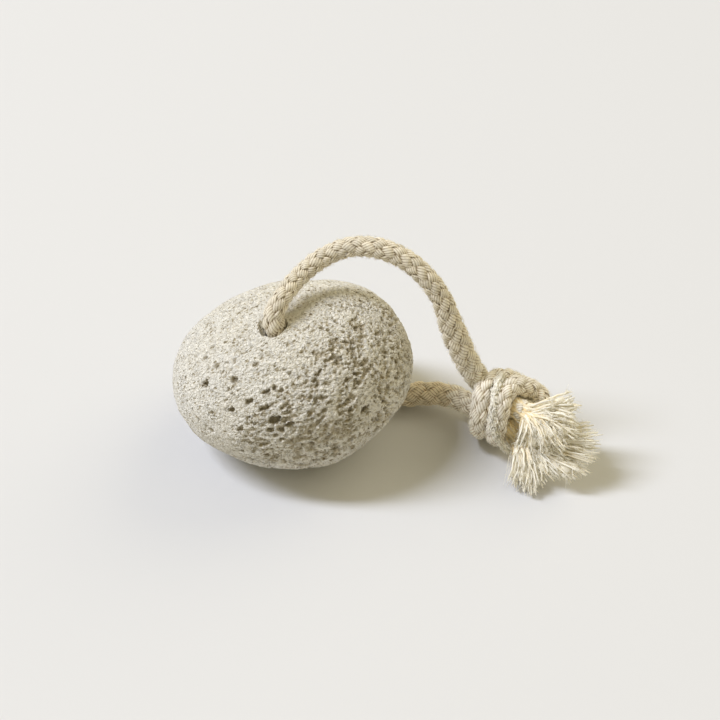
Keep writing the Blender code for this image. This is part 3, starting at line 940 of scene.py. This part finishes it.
def stone_surface(directions):
    """Points of the smooth stone that lie in those directions from its centre, in mm."""
    parts = np.abs(directions) / np.array(STONE_HALF)
    reach = (parts**STONE_FULLNESS).sum(axis=1) ** (-1.0 / STONE_FULLNESS)
    for towards, height, width in LUMPS:
        unit = np.array(towards) / np.linalg.norm(towards)
        off = np.arccos(np.clip(directions @ unit, -1.0, 1.0))
        reach = reach + height * np.exp(-((off / width) ** 2))
    tilt = np.array(Matrix.Rotation(STONE_TILT, 3, "Y"))
    tilted = (directions * reach[:, None]) @ tilt.T
    rough = np.array([noise.noise(Vector(point) / 7.0) for point in tilted])
    outward = tilted / np.linalg.norm(tilted, axis=1)[:, None]
    return tilted + outward * (0.45 * rough)[:, None] + np.array(STONE_CENTRE)


def pitting(directions):
    """How thick with pits the stone is in those directions, from 0 to 1."""
    found = np.full(len(directions), BARE_PITTING)
    for towards, width, amount in PITTED_SIDES:
        unit = np.array(towards) / np.linalg.norm(towards)
        off = np.arccos(np.clip(directions @ unit, -1.0, 1.0))
        found = np.maximum(found, amount * np.exp(-((off / width) ** 4)))
    return found


def random_directions(rng, count):
    level = rng.uniform(-1.0, 1.0, count)
    turn = rng.uniform(0.0, math.tau, count)
    flat = np.sqrt(1.0 - level**2)
    return np.stack([flat * np.cos(turn), flat * np.sin(turn), level], axis=1)


def pit_list(rng):
    """Every pit as (middle on the surface, half width, stretch, how far its bubble is sunk)."""
    found = []
    named = np.array([tuple(at_angles(around, up)) for around, up, _, _ in LARGE_PITS])
    for middle, (_, _, half, stretch) in zip(stone_surface(named), LARGE_PITS):
        found.append((middle, 1.05 * half, stretch, 0.4))
        for _ in range(3):
            beside = middle + rng.normal(0.0, 0.75, 3) * half
            found.append((beside, half * rng.uniform(0.3, 0.6), stretch, 0.0))
    lots = random_directions(rng, 6 * FINE_PITS)
    crowd = np.array([0.5 + noise.noise(Vector(place) * 5.0) for place in lots])
    kept = lots[rng.random(len(lots)) < pitting(lots) * crowd][:FINE_PITS]
    narrow, wide = FINE_HALF_WIDTH
    sizes = narrow + (wide - narrow) * rng.random(len(kept)) ** 2.6 * (0.35 + 0.65 * pitting(kept))
    stretches = rng.uniform(1.1, 2.3, len(kept))
    sunk = rng.uniform(-0.45, 0.45, len(kept))
    for middle, half, stretch, deep in zip(stone_surface(kept), sizes, stretches, sunk):
        on_flat = middle[2] < 3.0 and math.hypot(middle[0], middle[1]) < UNDERSIDE_KEPT
        if not on_flat:
            found.append((middle, half, stretch, deep))
    return found


def pit_depths(points, normals, pits):
    """How far each point moves in to reach the far wall of the bubbles that it lies in."""
    finder = KDTree(len(points))
    for number, point in enumerate(points):
        finder.insert(point, number)
    finder.balance()
    warp = np.array([noise.noise_vector(Vector(point) / 1.3) for point in points]) * 0.55
    warp += np.array([noise.noise_vector(Vector(point) / 0.55) for point in points]) * 0.20
    depths = np.zeros(len(points))
    for middle, half, stretch, sunk in pits:
        near = [number for _, number, _ in finder.find_range(middle, half * stretch * 1.3 + 0.5)]
        if not near:
            continue
        centre = middle - normals[near[0]] * half * sunk
        away = (points[near] + warp[near] * min(1.0, half) - centre) / half
        inward = -normals[near] / half
        squeeze = 1.0 - 1.0 / stretch
        away = away - np.outer(away @ FLOW, FLOW) * squeeze
        inward = inward - np.outer(inward @ FLOW, FLOW) * squeeze
        a = (inward * inward).sum(axis=1)
        b = (away * inward).sum(axis=1)
        c = (away * away).sum(axis=1) - 1.0
        inside = c < 0.0
        reach = np.where(inside, (np.sqrt(np.maximum(b * b - a * c, 0.0)) - b) / a, 0.0)
        depths[near] = np.maximum(depths[near], np.minimum(reach, 1.25 * half))
    return np.minimum(depths, DEEPEST_PIT)


def froth(points):
    """Relief of the fine foam at each point: bubble walls from -1 to 1, and grain in mm."""
    along = points @ FLOW
    drawn = points - np.outer(along, FLOW) * (1.0 - 1.0 / GRAIN_STRETCH)
    walls = np.empty(len(points))
    grain = np.empty(len(points))
    for number, point in enumerate(drawn):
        place = Vector(point)
        bent = place + noise.noise_vector(place / 1.1) * 0.45
        near = noise.voronoi(bent / 0.75)[0]
        walls[number] = 1.0 - 2.0 * min(1.0, (near[1] - near[0]) / 0.45)
        grain[number] = sum(size * noise.noise(place / wide) for wide, size in FROTH_NOISES)
    return walls, grain


def hole_cutter():
    """The drilled hole with its worn mouths, as a rough tube along the rope's line."""
    down = [(*row[:3], HOLE_RADIUS) for row in reversed(RETURN_ROUTE[:5])]
    up = [(*row, HOLE_RADIUS) for row in HOLE_TOP]
    line = Line(down + up)
    along = np.linspace(0.0, line.length, round(line.length / 0.9))
    top = line.nearest(TOP_MOUTH)
    flare = (MOUTH_RADIUS - HOLE_RADIUS) / MOUTH_DEPTH
    radius = HOLE_RADIUS + flare * np.maximum(0.0, along - (top - MOUTH_DEPTH))
    around = np.linspace(0.0, math.tau, 40, endpoint=False)
    length, turn = np.meshgrid(along, around, indexing="ij")
    place = line.place(length, turn, np.ones_like(turn) * HOLE_RADIUS)
    spots = [Vector(point) for point in place.reshape(-1, 3)]
    rough = [noise.noise(spot / 2.6) + 0.5 * noise.noise(spot) for spot in spots]
    out = radius[:, None] + 0.7 * np.array(rough).reshape(turn.shape)
    strips = Strips()
    shade = np.stack([np.full(turn.shape, 0.10), np.full(turn.shape, 0.5)], axis=-1)
    strips.add(line.place(length, turn, out), shade)
    return strips.make("hole", ("pit_stain_and_shade", "pitting"))


def cube_sphere():
    """A mesh of squares spread over a sphere, and the direction of each of its points."""
    shape = bmesh.new()
    bmesh.ops.create_cube(shape, size=2.0)
    bmesh.ops.subdivide_edges(shape, edges=shape.edges, cuts=STONE_CUTS, use_grid_fill=True)
    mesh = bpy.data.meshes.new("stone")
    shape.to_mesh(mesh)
    shape.free()
    flat = np.empty(3 * len(mesh.vertices), np.float32)
    mesh.vertices.foreach_get("co", flat)
    spread = np.tan(flat.reshape(-1, 3).astype(float) * math.pi / 4)
    directions = spread / np.linalg.norm(spread, axis=1)[:, None] + FINER_SIDE
    return mesh, directions / np.linalg.norm(directions, axis=1)[:, None]


def rough_stone_mesh():
    """The stone with its pits and foam, before it is drilled."""
    noise.seed_set(PIT_SEED)    # noise_vector is seeded from the clock unless this is set
    mesh, directions = cube_sphere()
    points = stone_surface(directions)
    mesh.vertices.foreach_set("co", points.astype(np.float32).ravel())
    mesh.update()
    normals = np.empty(3 * len(mesh.vertices), np.float32)
    mesh.vertex_normals.foreach_get("vector", normals)
    normals = normals.reshape(-1, 3).astype(float)
    depths = pit_depths(points, normals, pit_list(np.random.default_rng(PIT_SEED)))
    thick = pitting(directions)
    walls, grain = froth(points)
    fine = walls * (0.07 + 0.10 * thick) + grain * (0.6 + 0.4 * thick)
    points = points + normals * (fine - depths)[:, None]
    points[:, 2] = np.maximum(points[:, 2], 0.0)
    # Partly the stone's own stain and partly painted shade: darker deep in the pits and between the
    # foam's walls.
    pit_stain_and_shade = np.minimum(1.0, depths / 1.1 + 0.25 * np.maximum(0.0, -walls) * thick)
    mesh.vertices.foreach_set("co", (points * MM).astype(np.float32).ravel())
    keep_values(mesh, "pit_stain_and_shade", pit_stain_and_shade)
    keep_values(mesh, "pitting", thick)
    mesh.shade_smooth()
    return mesh


def stone_piece(finish):
    rough_stone = add_object("rough_stone", rough_stone_mesh())
    cutter = hole_cutter()
    cut = rough_stone.modifiers.new("hole", "BOOLEAN")
    cut.operation = "DIFFERENCE"
    cut.solver = "EXACT"
    cut.object = cutter
    bpy.context.view_layer.update()
    seen = rough_stone.evaluated_get(bpy.context.evaluated_depsgraph_get())
    drilled = bpy.data.meshes.new_from_object(seen)
    drilled.materials.clear()
    drilled.shade_smooth()
    made = dress(add_object("drilled_stone", drilled), finish)
    bpy.data.objects.remove(rough_stone, do_unlink=True)
    bpy.data.objects.remove(cutter, do_unlink=True)
    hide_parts("pumice_stone")


# --- Studio -------------------------------------------------------------------------------


def make_camera():
    data = bpy.data.cameras.new("camera")
    data.lens = CAMERA_LENS
    data.sensor_width = SENSOR_WIDTH
    data.clip_start = 0.01
    distance = FRAME_PIXELS * CAMERA_LENS / (SENSOR_WIDTH * PIXELS_PER_MM)
    back = Vector((0.0, -math.cos(CAMERA_RISE), math.sin(CAMERA_RISE)))
    made = add_object("camera", data)
    made.location = (LOOKED_AT + back * distance) * MM
    made.rotation_euler = back.to_track_quat("Z", "Y").to_euler()
    bpy.context.scene.camera = made


def make_light(name, kind, towards, energy, colour):
    """A light that shines on the object from that direction."""
    data = bpy.data.lights.new(name, kind)
    data.energy = energy
    data.color = colour
    made = add_object(name, data)
    made.rotation_euler = Vector(towards).to_track_quat("Z", "Y").to_euler()
    return made


def make_studio():
    bpy.ops.mesh.primitive_plane_add(size=FLOOR_SIZE, location=(0.0, 0.0, 0.0))
    floor = bpy.context.object
    floor.name = "studio_floor"
    floor.data.materials.append(floor_material())
    key = make_light("key", "AREA", KEY_TOWARDS, KEY_ENERGY, KEY_COLOUR)
    key.location = Vector(KEY_TOWARDS) * KEY_DISTANCE
    key.data.shape = "RECTANGLE"
    key.data.size = KEY_WIDTH
    key.data.size_y = KEY_HEIGHT
    for name, (towards, energy, spread) in SOFT_LIGHTS.items():
        light = make_light(name, "SUN", towards, energy, WARM_COLOUR)
        light.data.angle = math.radians(spread)
    world = bpy.data.worlds.new("studio")
    world.use_nodes = True
    sky = world.node_tree.nodes["Background"]
    sky.inputs["Color"].default_value = SKY_COLOUR
    sky.inputs["Strength"].default_value = SKY_STRENGTH
    bpy.context.scene.world = world
    bpy.context.scene.view_settings.view_transform = "Standard"


# --- Making -------------------------------------------------------------------------------


def tied(rows):
    """The rope's rows in the knot, as points and radii."""
    return tuple((*knot_point(along, out, turn), radius) for along, out, turn, radius in rows)


def main():
    make_camera()
    cotton = cotton_group()
    cloths = {name: cotton_material(name, cotton, *look) for name, look in COTTONS.items()}
    lit_knot_cloth = cloths["lit_knot_cotton"]
    yarn_cloth = cloths["loose_cotton"]

    arch_rows = ARCH_ROUTE + tied(KNOT_FROM_ARCH)
    back_rows = RETURN_ROUTE + tied(KNOT_FROM_RETURN)
    arch = Line(arch_rows)
    back = Line(back_rows)
    arch_end = arch.nearest(ARCH_ROUTE[-1])
    back_end = back.nearest(RETURN_ROUTE[-1])
    arch_shown = arch.nearest(ARCH_EXIT) - SHOWN_BEFORE_EXIT
    back_shown = back.nearest(RETURN_EXIT) - SHOWN_BEFORE_EXIT

    stops = stretch_stops(0.0, arch_shown, arch_end)
    over = rope_piece("arch_braid", arch, stops, 3, cloths["braided_cotton"])
    stops = stretch_stops(0.0, back_shown, back_end)
    under = rope_piece("return_braid", back, stops, 5, cloths["shaded_cotton"])
    stops = stretch_stops(arch_end, arch_end, arch.length)
    knot_over = rope_piece("knot_braid_over", arch, stops, 3, lit_knot_cloth)
    stops = stretch_stops(back_end, back_end, back.length)
    knot_under = rope_piece("knot_braid_under", back, stops, 5, lit_knot_cloth)
    upper = frayed_end("upper_fray", arch_rows, UPPER_TIPS + CURTAIN_TIPS, 21, yarn_cloth)
    lower = frayed_end("lower_fray", back_rows, LOWER_TIPS + FLUFF_TIPS, 22, yarn_cloth)
    rng = np.random.default_rng(31)
    hairs = Strips()
    fuzz(hairs, arch, arch_shown, arch_end, rng)
    fuzz(hairs, back, back_shown, back_end, rng)
    rope_fuzz = fluffy_piece("rope_fuzz", hairs, yarn_cloth)
    hairs = Strips()
    fuzz(hairs, arch, arch_end, arch.length, rng)
    fuzz(hairs, back, back_end, back.length, rng)
    felt(hairs, rng)
    knot_fluff = fluffy_piece("knot_fluff", hairs, yarn_cloth)
    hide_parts("rope_arch")
    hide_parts("rope_return")
    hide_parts("rope_knot")
    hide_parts("rope_knot")
    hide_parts("frayed_end_upper")
    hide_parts("frayed_end_lower")

    stone_piece(pumice_material())
    make_studio()


main()
